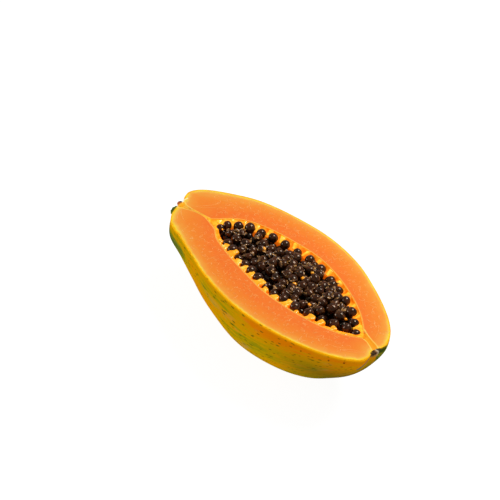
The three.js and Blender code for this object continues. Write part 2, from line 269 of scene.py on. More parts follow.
def make_piece(name, points, faces, materials, node, values=None, slots=None):
    """A mesh from points in millimetres about the fruit's axis, in place of a node of the solids."""
    mesh = bpy.data.meshes.new(name)
    placed = (np.asarray(points, float) + AXIS_AT) * MM
    placed = np.clip(placed, *(np.array(cad_box) + BOX_MARGIN * MM * np.array([[1], [-1]])))
    mesh.from_pydata(placed.tolist(), [], faces)
    for material in materials:
        mesh.materials.append(material)
    if slots is not None:
        mesh.polygons.foreach_set("material_index", np.asarray(slots, np.int32))
    for key, numbers in (values or {}).items():
        attribute = mesh.attributes.new(key, "FLOAT", "POINT")
        attribute.data.foreach_set("value", np.asarray(numbers, np.float32))
    mesh.shade_smooth()
    mesh.validate()
    mesh.update()
    piece = bpy.data.objects.new(name, mesh)
    bpy.context.scene.collection.objects.link(piece)
    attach(piece, "root")
    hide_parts(node)
    return piece


def ball(around=22, along=14):
    """Points and faces of a unit ball."""
    points = [(0.0, 0.0, 1.0)]
    for i in range(1, along):
        tilt = math.pi * i / along
        for j in range(around):
            turn = 2 * math.pi * j / around
            wide = math.sin(tilt)
            points.append((wide * math.cos(turn), wide * math.sin(turn), math.cos(tilt)))
    points.append((0.0, 0.0, -1.0))
    last = len(points) - 1
    at = lambda i, j: 1 + (i - 1) * around + j % around
    faces = []
    for j in range(around):
        faces.append((0, at(1, j), at(1, j + 1)))
        faces.append((last, at(along - 1, j + 1), at(along - 1, j)))
        for i in range(1, along - 1):
            faces.append((at(i, j), at(i + 1, j), at(i + 1, j + 1), at(i, j + 1)))
    return np.array(points), faces


def lumpy(unit, strength, size, seed):
    """A unit ball's points with uneven swellings."""
    return unit * (1 + strength * wobble(unit, size, seed))[:, None]


def tube(centres, radii, sides):
    """Points and faces of a closed tube along the centres, with its own radius at each."""
    centres = np.asarray(centres, float)
    ahead = np.gradient(centres, axis=0)
    ahead /= np.linalg.norm(ahead, axis=1)[:, None]
    side = np.cross(ahead, (0, 0, 1.0))
    side /= np.linalg.norm(side, axis=1)[:, None]
    up = np.cross(side, ahead)
    turn = np.arange(sides) * 2 * math.pi / sides
    ring = np.cos(turn)[None, :, None] * side[:, None] + np.sin(turn)[None, :, None] * up[:, None]
    points = (centres[:, None] + ring * np.asarray(radii)[:, None, None]).reshape(-1, 3)
    faces = []
    for i in range(len(centres) - 1):
        for j in range(sides):
            k = (j + 1) % sides
            faces.append((i * sides + j, i * sides + k, (i + 1) * sides + k, (i + 1) * sides + j))
    faces.append(tuple(range(sides - 1, -1, -1)))
    top = (len(centres) - 1) * sides
    faces.append(tuple(range(top, top + sides)))
    return points, faces


def joined(parts):
    """Several lots of points and faces as one."""
    points, faces, start = [], [], 0
    for some_points, some_faces in parts:
        points.append(some_points)
        faces.extend(tuple(start + k for k in face) for face in some_faces)
        start += len(some_points)
    return np.concatenate(points), faces


# Materials.


def rgb(red, green, blue):
    """A screen colour of 0 to 255 as a linear one."""
    parts = [c / 255 for c in (red, green, blue)]
    return tuple(c / 12.92 if c <= 0.04045 else ((c + 0.055) / 1.055) ** 2.4 for c in parts) + (1.0,)


class Look:
    """A material and short ways to add its nodes."""

    def __init__(self, name):
        self.material = bpy.data.materials.new(name)
        self.material.use_nodes = True
        self.tree = self.material.node_tree
        self.shader = self.tree.nodes["Principled BSDF"]

    def node(self, kind, settings=None, **inputs):
        made = self.tree.nodes.new(kind)
        for key, value in (settings or {}).items():
            setattr(made, key, value)
        for key, value in inputs.items():
            self.feed(made.inputs[int(key[1:]) if key[1:].isdigit() else key], value)
        return made

    def feed(self, socket, value):
        if isinstance(value, bpy.types.NodeSocket):
            self.tree.links.new(value, socket)
        else:
            socket.default_value = value

    def set(self, **values):
        for key, value in values.items():
            self.feed(self.shader.inputs[key.replace("_", " ")], value)

    def value(self, name):
        return self.node("ShaderNodeAttribute", {"attribute_name": name}).outputs["Fac"]

    def place(self, shift=(0, 0, 0)):
        """Place on the object in millimetres, moved by the shift."""
        here = self.node("ShaderNodeTexCoord").outputs["Object"]
        mapping = self.node("ShaderNodeMapping", _0=here)
        mapping.inputs["Scale"].default_value = [1 / MM] * 3
        mapping.inputs["Location"].default_value = shift
        return mapping.outputs[0]

    def noise(self, place, size, detail=2.0, roughness=0.5, distortion=0.0):
        made = self.node("ShaderNodeTexNoise", Vector=place, Scale=1 / size, Detail=detail)
        made.inputs["Roughness"].default_value = roughness
        made.inputs["Distortion"].default_value = distortion
        return made.outputs["Fac"]

    def cells(self, place, size):
        return self.node("ShaderNodeTexVoronoi", Vector=place, Scale=1 / size)

    def math(self, operation, a, b=0.0):
        return self.node("ShaderNodeMath", {"operation": operation}, _0=a, _1=b).outputs[0]

    def times(self, a, b):
        return self.math("MULTIPLY", a, b)

    def swing(self, value, size):
        """How far the value is from a half, times the size."""
        return self.times(self.math("SUBTRACT", value, 0.5), size)

    def remap(self, value, low, high, to_low=0.0, to_high=1.0):
        made = self.node("ShaderNodeMapRange", {"interpolation_type": "SMOOTHSTEP"}, _0=value)
        for index, number in enumerate((low, high, to_low, to_high), 1):
            made.inputs[index].default_value = number
        return made.outputs[0]

    def ramp(self, value, stops):
        made = self.node("ShaderNodeValToRGB", _0=value)
        made.color_ramp.elements[0].position = stops[0][0]
        made.color_ramp.elements[0].color = stops[0][1]
        made.color_ramp.elements[1].position = stops[-1][0]
        made.color_ramp.elements[1].color = stops[-1][1]
        for place, colour in stops[1:-1]:
            made.color_ramp.elements.new(place).color = colour
        return made.outputs["Color"]

    def mix(self, amount, a, b):
        made = self.node("ShaderNodeMix", {"data_type": "RGBA"})
        self.feed(made.inputs[0], amount)
        self.feed(made.inputs[6], a)
        self.feed(made.inputs[7], b)
        return made.outputs[2]

    def bump(self, height, depth_mm, strength=1.0, over=None):
        made = self.node("ShaderNodeBump", Height=height, Strength=strength, Distance=depth_mm * MM)
        if over is not None:
            self.feed(made.inputs["Normal"], over)
        return made.outputs[0]


def skin_look():
    look = Look("papaya_skin")
    along, around = look.value("along_mm"), look.value("around_mm")
    even = look.place()
    flow = look.node("ShaderNodeCombineXYZ", X=look.math("DIVIDE", along, 5.5), Y=around).outputs[0]
    drift = look.node("ShaderNodeCombineXYZ", X=look.math("DIVIDE", along, 2.2), Y=around).outputs[0]
    patches = look.noise(drift, 16, 3, 0.55, 0.6)
    streaks = look.noise(flow, 3.4, 4, 0.62, 1.2)
    fine = look.noise(flow, 1.1, 3, 0.6)
    tone = look.value("greenness")
    for pattern, size in ((patches, 0.9), (streaks, 1.2), (fine, 0.6)):
        tone = look.math("ADD", tone, look.swing(pattern, size))
    colour = look.ramp(tone, [
        (0.0, rgb(222, 124, 2)),
        (0.2, rgb(214, 140, 2)),
        (0.4, rgb(200, 148, 2)),
        (0.56, rgb(176, 146, 4)),
        (0.74, rgb(136, 132, 12)),
        (1.0, rgb(78, 98, 38)),
    ])
    # Painted shade: darker olive-brown towards the flower end low on the sides, and on the underside.
    colour = look.mix(look.times(look.value("painted_shade"), 0.74), colour, rgb(78, 58, 12))
    colour = look.mix(look.remap(look.value("below_mm"), 2.8, 0.3, 0.0, 0.75), colour, rgb(250, 174, 8))
    # Tan weathered streaks, their greyish tint partly a painted sheen, with thin dark scratches in them.
    wear_and_sheen = look.remap(look.noise(drift, 9, 3, 0.6, 0.8), 0.56, 0.68)
    wear_and_sheen = look.times(wear_and_sheen, look.value("wear_and_sheen"))
    colour = look.mix(look.times(wear_and_sheen, 0.75), colour, rgb(190, 152, 92))
    thin = look.noise(flow, 1.7, 3, 0.6, 1.5)
    scratch = look.remap(look.math("ABSOLUTE", look.math("SUBTRACT", thin, 0.5)), 0.035, 0.008)
    colour = look.mix(look.times(look.times(scratch, wear_and_sheen), 0.75), colour, rgb(92, 78, 62))
    # The blue-green vein and the dark green patch beside the flower's scar.
    vein = look.remap(look.value("vein_mm"), 1.7, 0.8)
    vein = look.times(vein, look.remap(fine, 0.35, 0.55, 0.35, 1.0))
    colour = look.mix(look.times(vein, 0.9), colour, rgb(46, 92, 86))
    colour = look.mix(look.remap(look.value("fold_mm"), 3.6, 1.6, 0.0, 0.9), colour, rgb(38, 62, 20))
    # Specks, longer along the fruit.
    speckled = look.node("ShaderNodeCombineXYZ", X=look.math("DIVIDE", along, 1.7), Y=around).outputs[0]
    for size, reach, chance, tint in (
        (2.6, 0.24, 0.55, rgb(70, 84, 16)),
        (1.8, 0.28, 0.55, rgb(104, 88, 8)),
        (5.2, 0.13, 0.5, rgb(40, 56, 16)),
    ):
        cell = look.cells(speckled, size)
        ragged = look.math("ADD", cell.outputs["Distance"], look.swing(look.noise(even, 0.9, 2), 0.16))
        spot = look.remap(ragged, reach, reach * 0.55)
        lot = look.node("ShaderNodeSeparateColor", _0=cell.outputs["Color"]).outputs[0]
        chosen = look.math("GREATER_THAN", lot, chance)
        colour = look.mix(look.times(look.times(spot, chosen), 0.8), colour, tint)
    colour = look.mix(look.remap(look.value("dots_mm"), 0.95, 0.5, 0.0, 0.85), colour, rgb(84, 42, 8))
    # Painted light: the skin within about 1.6 mm of the cut glows yellow through emission.
    painted_glow = look.mix(look.remap(look.value("below_mm"), 1.6, 0.2), (0, 0, 0, 1), rgb(255, 180, 10))
    look.set(Base_Color=colour, Emission_Color=painted_glow, Emission_Strength=0.22)
    look.set(Roughness=look.remap(fine, 0.3, 0.7, 0.42, 0.55))
    look.set(Specular_IOR_Level=0.0)
    rough = look.bump(look.noise(even, 0.8, 3), 0.04, 0.5)
    look.set(Normal=look.bump(streaks, 0.2, 0.3, rough))
    return look.material


def flesh_look():
    look = Look("papaya_flesh")
    here = look.place()
    soft = look.noise(here, 9, 3, 0.5)
    grain = look.noise(here, 0.9, 3, 0.6)
    rim = look.math("ADD", look.value("rim_mm"), look.swing(look.noise(here, 3.5, 2), 1.3))
    colour = look.ramp(look.math("DIVIDE", rim, 16.0), [
        (0.0, rgb(228, 154, 2)),
        (0.025, rgb(240, 196, 10)),
        (0.055, rgb(236, 204, 60)),
        (0.09, rgb(233, 184, 76)),
        (0.16, rgb(231, 153, 58)),
        (0.42, rgb(231, 131, 42)),
        (1.0, rgb(231, 113, 39)),
    ])
    colour = look.mix(look.remap(soft, 0.35, 0.7, 0.0, 0.35), colour, rgb(234, 121, 38))
    pit = look.value("pit_mm")
    line = look.remap(pit, 1.15, 0.5)
    colour = look.mix(look.times(line, 0.8), colour, rgb(244, 192, 84))
    # The bundles that run from the hollow's tips to the stalk and the scar.
    band = look.value("band")
    inside = look.remap(band, 1.15, 0.8)
    fill = look.mix(look.value("stem"), rgb(236, 150, 14), rgb(242, 184, 48))
    colour = look.mix(look.times(inside, 0.85), colour, fill)
    edge = look.math("ABSOLUTE", look.math("SUBTRACT", band, 1.0))
    colour = look.mix(look.remap(edge, 0.24, 0.05, 0.0, 0.8), colour, rgb(246, 206, 96))
    colour = look.mix(look.remap(look.value("lip_mm"), 0.8, 0.3, 0.0, 0.8), colour, rgb(255, 232, 176))
    # Faint rays near the skin and a fine pale mottle.
    rays = look.noise(look.place((40, 7, 3)), 1.5, 3, 0.6, 1.0)
    colour = look.mix(look.remap(rays, 0.52, 0.72, 0.0, 0.3), colour, rgb(234, 145, 60))
    look.set(Base_Color=colour)
    look.set(Roughness=look.remap(grain, 0.35, 0.65, 0.36, 0.52))
    look.set(Specular_IOR_Level=0.1, Subsurface_Weight=0.1, Subsurface_Scale=0.003)
    look.set(Subsurface_Radius=(1.0, 0.45, 0.12))
    look.set(Normal=look.bump(grain, 0.08, 0.4))
    return look.material


def fibre_look():
    look = Look("papaya_fibre")
    tone = look.noise(look.place(), 2.5, 2)
    look.set(Base_Color=look.mix(look.remap(tone, 0.35, 0.65), rgb(239, 150, 66), rgb(249, 184, 108)))
    look.set(Roughness=0.4, Specular_IOR_Level=0.2)
    return look.material


def pulp_look():
    look = Look("papaya_pulp")
    here = look.place()
    mottle = look.noise(here, 3.6, 3, 0.5, 0.3)
    colour = look.ramp(mottle, [
        (0.3, rgb(246, 142, 4)),
        (0.45, rgb(248, 162, 12)),
        (0.58, rgb(250, 186, 44)),
        (0.75, rgb(253, 220, 116)),
    ])
    # Painted shade: deeper pulp is mixed towards a darker orange.
    deep = look.remap(look.value("below_mm"), 0.7, 3.2, 0.0, 0.85)
    colour = look.mix(deep, colour, rgb(236, 92, 0))
    # Painted light: emission, dark orange on the near stubs and pale yellow on the far strands.
    painted_glow = look.mix(look.value("painted_glow"), rgb(170, 84, 0), rgb(255, 184, 52))
    look.set(Base_Color=colour, Emission_Color=painted_glow, Emission_Strength=0.5)
    look.set(Roughness=look.remap(mottle, 0.3, 0.7, 0.14, 0.26))
    look.set(Specular_IOR_Level=0.5)
    look.set(Normal=look.bump(look.noise(here, 1.8, 2, 0.5), 0.2, 0.4))
    return look.material


def wall_look():
    """The hollow's wall, which glows in its own colour as painted light for the flesh behind it, with
    painted shade as a darker orange lower down.
    """
    look = Look("papaya_wall")
    here = look.place()
    mottle = look.noise(here, 3.0, 3, 0.5, 0.3)
    colour = look.mix(look.remap(mottle, 0.35, 0.7), rgb(253, 122, 0), rgb(254, 172, 40))
    deep = look.remap(look.value("below_mm"), 1.5, 5.0, 0.0, 0.85)
    colour = look.mix(deep, colour, rgb(226, 88, 0))
    look.set(Base_Color=colour, Emission_Color=colour, Emission_Strength=0.55)
    look.set(Roughness=0.4, Specular_IOR_Level=0.15)
    return look.material


def seed_look():
    look = Look("papaya_seed")
    here = look.place()
    which = look.value("which")
    wet = look.noise(here, 2.3, 2, 0.5, 0.5)
    colour = look.mix(look.remap(wet, 0.3, 0.72), rgb(11, 4, 1), rgb(78, 35, 10))
    colour = look.mix(look.times(which, 0.4), colour, rgb(44, 19, 5))
    film = look.remap(look.noise(look.place((5, 50, 8)), 2.6, 2, 0.5, 1.0), 0.56, 0.68)
    film = look.times(film, look.value("film"))
    colour = look.mix(look.times(film, 0.5), colour, rgb(128, 84, 44))
    # Painted shade: the seeds of the layer below are darkened almost to black.
    colour = look.mix(look.value("shade_below"), colour, rgb(9, 4, 2))
    look.set(Base_Color=colour)
    look.set(Roughness=look.remap(wet, 0.3, 0.7, 0.08, 0.16))
    look.set(Specular_IOR_Level=0.42)
    look.set(Specular_Tint=(1.0, 0.8, 0.6, 1.0))
    look.set(Normal=look.bump(look.noise(here, 1.6, 1), 0.1, 0.3))
    return look.material


def bed_look():
    look = Look("papaya_seed_bed")
    here = look.place()
    lumps = look.noise(here, 2.0, 3, 0.6)
    # Dark brown like the seeds under it, and near black as painted shade in the gaps between the seeds.
    look.set(Base_Color=look.mix(look.remap(lumps, 0.35, 0.7), rgb(8, 4, 2), rgb(34, 17, 6)))
    look.set(Roughness=0.6, Specular_IOR_Level=0.03)
    look.set(Normal=look.bump(lumps, 0.6, 0.8))
    return look.material


def bark_look(name, dark, light, size):
    """A dry rough surface of two colours."""
    look = Look(name)
    lumps = look.noise(look.place(), size, 4, 0.65, 0.5)
    colour = look.mix(look.remap(lumps, 0.36, 0.64), dark, light)
    look.set(Base_Color=colour)
    look.set(Roughness=look.remap(lumps, 0.3, 0.7, 0.7, 0.9))
    look.set(Specular_IOR_Level=0.1, Normal=look.bump(lumps, 0.5, 0.8))
    return look, colour


def stalk_look():
    """Amber at its root, orange-brown at its tip, and dark blue-grey on the tip's far side."""
    look, colour = bark_look("dry_stalk", rgb(150, 66, 20), rgb(226, 140, 76), 1.2)
    spot = look.remap(look.value("side_mm"), 0.4, 1.3, 0.0, 0.9)
    colour = look.mix(spot, colour, rgb(44, 50, 58))
    look.set(Base_Color=look.mix(look.value("tip"), rgb(246, 164, 22), colour))
    return look.material


def scar_look():
    """Dark crust with a pale bit in the middle, and tan below."""
    look, colour = bark_look("dry_scar", rgb(30, 22, 14), rgb(96, 70, 40), 1.0)
    across = look.math("DIVIDE", look.math("ADD", look.value("side_mm"), 6.0), 12.0)
    crust = look.ramp(across, [
        (0.0, rgb(52, 50, 30)),
        (0.3, rgb(74, 50, 26)),
        (0.5, rgb(52, 28, 14)),
        (0.57, rgb(150, 104, 58)),
        (0.66, rgb(240, 222, 188)),
        (0.75, rgb(60, 54, 38)),
        (1.0, rgb(36, 40, 24)),
    ])
    colour = look.mix(0.6, colour, crust)
    tan = look.remap(look.value("below_mm"), 1.0, 2.2, 0.0, 0.8)
    look.set(Base_Color=look.mix(tan, colour, rgb(176, 126, 52)))
    return look.material


SKIN, FLESH, PULP = skin_look(), flesh_look(), pulp_look()
SEED, BED = seed_look(), bed_look()
FIBRE, WALL = fibre_look(), wall_look()
FOLD = bark_look("stem_fold_skin", rgb(38, 60, 14), rgb(104, 124, 34), 1.6)[0].material
STALK, SCAR = stalk_look(), scar_look()


# The fruit: skin, cut face and hollow in one closed mesh.


def rows(u):
    """Far and near edges of the hollow, and its depth, at u."""
    far = spline(CAVITY_RINGS[:, 0:2], u)
    near = spline(CAVITY_RINGS[:, 2:4], u)
    under = spline(CAVITY_RINGS[:, 4:6], u)
    return far, near, np.maximum(under[..., 1], 0)


def hollow_surface(u, across):
    """The hollow's wall: across runs from 1 at the far edge to -1 at the near edge."""
    far, near, depth = rows(u)
    share = (1 + across) / 2
    flat = near + (far - near) * share[..., None]
    half = (far[..., 1] - near[..., 1]) / 2
    pan = depth * (LEDGE_DEPTH / CAVITY_DEPTH) * (1 - np.abs(across) ** LEDGE_POWER) ** (1 / LEDGE_POWER)
    narrow = np.clip(np.abs(across) * half / np.maximum(half - LEDGE_WIDTH, 1e-6), 0, 1)
    deep = np.where(half > LEDGE_WIDTH, np.maximum(depth - LEDGE_WIDTH, 0) * np.sqrt(1 - narrow**2), 0)
    return np.concatenate([flat, -np.maximum(pan, deep)[..., None]], -1)


def skin_path(places):
    """Points on the skin from rows of: how far along, and the angle from the near rim in radians."""
    u, below_rim = np.array(places).T
    return fruit_surface(u, math.pi - below_rim)


def path_distance(points, path):
    """Distance in space from each point to a run of straight lines."""
    best = np.full(len(points), 1e9)
    for a, b in zip(path[:-1], path[1:]):
        share = np.clip(((points - a) @ (b - a)) / ((b - a) @ (b - a)), 0, 1)
        best = np.minimum(best, np.linalg.norm(points - a - share[:, None] * (b - a), axis=1))
    return best


def off_bundles(points):
    """How far each point is off the bundles of vessels, in their half widths."""
    best = np.full(len(points), OFF_BUNDLES)
    for bundle in BUNDLES:
        for a, b in zip(np.array(bundle[:-1], float), np.array(bundle[1:], float)):
            ahead = b[:2] - a[:2]
            share = np.clip(((points[:, :2] - a[:2]) @ ahead) / (ahead @ ahead), 0, 1)
            gap = np.hypot(*(points[:, :2] - a[:2] - share[:, None] * ahead).T)
            best = np.minimum(best, gap / (a[2] + (b[2] - a[2]) * share))
    return best


def build_fruit():
    u = np.linspace(0, 1, ALONG + 1)
    angle = np.linspace(0, math.pi, AROUND + 1)
    skin = fruit_surface(u[1:-1, None] + 0 * angle, angle + 0 * u[1:-1, None])
    # Slight dimples and swellings, which die away at the cut.
    down = np.sin(angle)[None, :] * smoothstep(0, 12, -skin[..., 2])
    ahead = np.gradient(skin, axis=0)
    side = np.gradient(skin, axis=1)
    out = np.cross(side, ahead)
    out /= np.maximum(np.linalg.norm(out, axis=2, keepdims=True), 1e-9)
    relief = 0.35 * (wobble(skin, 26) - 0.6) + 0.12 * (wobble(skin * [0.4, 1, 1], 7, 2) - 0.6)
    flip = np.sign((out * (skin - [0, 9, -15])).sum(2, keepdims=True))
    skin = skin + out * flip * (relief * down)[..., None]
    skin[..., 2] = np.maximum(skin[..., 2], -(DEPTH - FLAT_SPOT_CUT))
    stem, blossom = np.array([FRUIT_RINGS[0, 0], 0, 0]), np.array([FRUIT_RINGS[-1, 0], 0, 0])
    points = [stem[None], blossom[None], skin.reshape(-1, 3)]
    count = 2 + skin.shape[0] * skin.shape[1]
    at = lambda i, j: 0 if i == 0 else 1 if i == ALONG else 2 + (i - 1) * (AROUND + 1) + j
    faces, slots = [], []

    def face(slot, *corners):
        corners = [c for k, c in enumerate(corners) if c != corners[k - 1]]
        if len(corners) > 2:
            faces.append(tuple(corners))
            slots.append(slot)

    for i in range(ALONG):
        for j in range(AROUND):
            face(0, at(i, j), at(i + 1, j), at(i + 1, j + 1), at(i, j + 1))
    # The cut face, from the rim to the hollow's edge.
    outer = [at(i, 0) for i in range(ALONG)] + [at(i, AROUND) for i in range(ALONG, 0, -1)]
    so_far = np.concatenate(points)
    outer_points = so_far[outer]
    hollow_u = np.linspace(0, 1, ALONG + 1)
    far, near, _ = rows(hollow_u)
    inner_flat = np.concatenate([far[:-1], near[:0:-1]])
    inner_points = np.concatenate([inner_flat, np.zeros((len(inner_flat), 1))], 1)
    size = len(outer)
    rings = [outer]
    for k in range(1, CUT_RINGS + 1):
        share = k / CUT_RINGS
        share -= 0.05 * math.sin(2 * math.pi * share)
        points.append(outer_points * (1 - share) + inner_points * share)
        rings.append([count + n for n in range(size)])
        count += size
    for k in range(CUT_RINGS):
        for n in range(size):
            m = (n + 1) % size
            face(1, rings[k][n], rings[k][m], rings[k + 1][m], rings[k + 1][n])
    # The hollow, from its far edge to its near edge.
    across = np.cos(np.linspace(0, math.pi, CAVITY_ACROSS + 1))[1:-1]
    wall = hollow_surface(hollow_u[1:-1, None] + 0 * across, across + 0 * hollow_u[1:-1, None])
    wall[..., 2] += 0.25 * wobble(wall, 3.0, 5) * smoothstep(0.2, 1.5, -wall[..., 2])
    wall_start = count
    points.append(wall.reshape(-1, 3))
    count += wall.shape[0] * wall.shape[1]
    edge = rings[-1]

    def wall_at(i, j):
        if i == 0:
            return edge[0]
        if i == ALONG:
            return edge[ALONG]
        if j == 0:
            return edge[i]
        if j == CAVITY_ACROSS:
            return edge[2 * ALONG - i]
        return wall_start + (i - 1) * (CAVITY_ACROSS - 1) + j - 1

    for i in range(ALONG):
        for j in range(CAVITY_ACROSS):
            face(2, wall_at(i, j), wall_at(i + 1, j), wall_at(i + 1, j + 1), wall_at(i, j + 1))
    points = np.concatenate(points)
    rim_mm = loop_distance(points, outer_points)
    pit_mm = loop_distance(points, inner_points)
    band = off_bundles(points)
    flat = (np.abs(points[:, 2]) < 1e-6) & (rim_mm > 1e-6) & (pit_mm > 1e-6)
    groove = np.where(points[:, 0] < 0, STEM_GROOVE, BLOSSOM_GROOVE)
    lift = CUT_RELIEF * wobble(points, CUT_RELIEF_SIZE, 3) - groove * np.exp(-((band / 0.8) ** 2))
    lift -= PIT_EDGE_DIP * np.exp(-((pit_mm / 0.6) ** 2))
    points[flat, 2] += (lift * smoothstep(0, 1.0, rim_mm) - CUT_SINK)[flat]
    along_mm, around_mm = np.zeros(len(points)), np.zeros(len(points))
    skin_part = slice(2, 2 + skin.shape[0] * skin.shape[1])
    along_mm[skin_part] = np.repeat(np.linspace(*FRUIT_RINGS[[0, -1], 4], ALONG + 1)[1:-1], AROUND + 1)
    around_mm[skin_part] = np.tile(angle * GIRTH_RADIUS, ALONG - 1)
    along_mm[0], along_mm[1] = FRUIT_RINGS[0, 0], FRUIT_RINGS[-1, 0]
    x, y, z = points.T
    green = 0.5 + 0.12 * smoothstep(-55, -100, x) + 0.25 * smoothstep(10, 55, -z) * smoothstep(-10, 10, y)
    green -= 0.1 * np.exp(-(((x - 35) / 45) ** 2)) * smoothstep(40, 5, -z) * smoothstep(20, -10, y)
    near = np.where(y < 4, 1.0, 0.0)
    green += 0.35 * smoothstep(84, 98, x) * (1 - near)
    green -= (0.16 + 0.26 * smoothstep(0, 50, x)) * near * np.exp(-(((z + 3) / 5) ** 2))
    green -= 0.06 * near * smoothstep(20, 70, x) * smoothstep(35, 5, -z)
    green -= 0.12 * near * smoothstep(-70, -90, x) * smoothstep(9, 3, -z)
    green += 0.12 * near * smoothstep(-70, -90, x) * smoothstep(3, 9, -z)
    green += 0.4 * near * np.exp(-(((z + 14) / 6) ** 2)) * smoothstep(-40, -75, x)
    green -= 0.14 * near * smoothstep(10, 20, -z) * smoothstep(-75, -50, x) * smoothstep(40, 0, x)
    # Painted bounce light: more orange low on the near side towards the stem end.
    green -= 0.2 * near * smoothstep(26, 44, -z) * smoothstep(30, -30, x)
    green += 0.22 * near * smoothstep(55, 85, x) * smoothstep(12, 26, -z)
    # Where the tan streaks lie, partly wear and partly a painted sheen, along the middle of the near side.
    belt = near * np.exp(-(((z + 30) / 11) ** 2))
    wear_and_sheen = 0.1 + 0.9 * belt * smoothstep(-75, -40, x) * smoothstep(50, 0, x)
    tipness = 0.45 * smoothstep(-40, -85, x) + 0.3 * smoothstep(78, 96, x)
    # Painted shade on the skin: strongest towards the flower end below the cut, weaker over the underside.
    painted_shade = smoothstep(32, 92, x) * smoothstep(1, 22, -z) + 0.35 * smoothstep(30, 56, -z)
    lip = path_distance(points * [1, 1, 0], np.array(NOTCH_LIP))
    values = {
        "rim_mm": rim_mm * (1 - tipness), "pit_mm": pit_mm, "band": band,
        "greenness": green, "below_mm": -z, "wear_and_sheen": wear_and_sheen,
        "painted_shade": painted_shade.clip(0, 1), "lip_mm": lip, "stem": smoothstep(-50, -80, x),
        "along_mm": along_mm, "around_mm": around_mm,
        "vein_mm": path_distance(points, skin_path(VEIN)),
        "fold_mm": path_distance(points, skin_path(SCAR_PATCH)),
        "dots_mm": np.min([np.linalg.norm(points - dot, axis=1) for dot in skin_path(RIM_DOTS)], 0),
    }
    fruit = make_piece("fruit", points, faces, [SKIN, FLESH, WALL], "papaya_half", values, slots)
    fruit.data.set_sharp_from_angle(angle=math.radians(38))


build_fruit()

FIBRE_SPACING = 3.3
FIBRE_HALF_WIDTH = 0.18
FIBRE_HEIGHT = 0.08
FIBRE_STEPS = 9
FIBRE_RIM_GAP, FIBRE_HOLLOW_GAP = 4.5, 2.6
FIBRE_DRAW = 4711
LONG_STRAND_HALF_WIDTH = 0.22
# A few long faint strands near the two ends, each from x, y to x, y.
LONG_STRANDS = [
    ((-97.5, 1.6), (-87, 4.2)), ((-97, -0.2), (-88, 1.6)), ((-94, 1.6), (-80, 5)), ((84, -17), (97, -4)),
    ((76, -19), (86, -13)), ((-95, -3), (-80, -11)), ((-93, -5), (-84, -15)),
    ((-94, 5), (-82, 18)), ((-92, 8), (-84, 24)), ((90, 10), (80, 22)), ((93, -8), (86, -16)),
]


def cut_height(points):
    """How high the cut face lies, away from the hollow and the bundles."""
    return CUT_RELIEF * wobble(points, CUT_RELIEF_SIZE, 3) - CUT_SINK


def strand(line, half_width, height):
    """A thin pointed ridge along a line in the plane of the cut."""
    ahead = np.gradient(line, axis=0)
    ahead /= np.linalg.norm(ahead, axis=1)[:, None]
    side = np.stack([-ahead[:, 1], ahead[:, 0]], 1)
    taper = np.sin(np.linspace(0.12, math.pi - 0.12, len(line)))[:, None] ** 0.6
    flat = np.concatenate([line, np.zeros((len(line), 1))], 1)
    level = cut_height(flat)
    rows_of = []
    for across, lift in ((1, -0.04), (0, height), (-1, -0.04)):
        place = line + side * across * half_width * taper
        rows_of.append(np.concatenate([place, (level + lift)[:, None]], 1))
    points = np.stack(rows_of, 1).reshape(-1, 3)
    faces = []
    for i in range(len(line) - 1):
        for j in range(3):
            k = (j + 1) % 3
            faces.append((3 * i + k, 3 * i + j, 3 * i + 3 + j, 3 * i + 3 + k))
    last = 3 * (len(line) - 1)
    faces += [(0, 1, 2), (last + 2, last + 1, last)]
    return points, faces


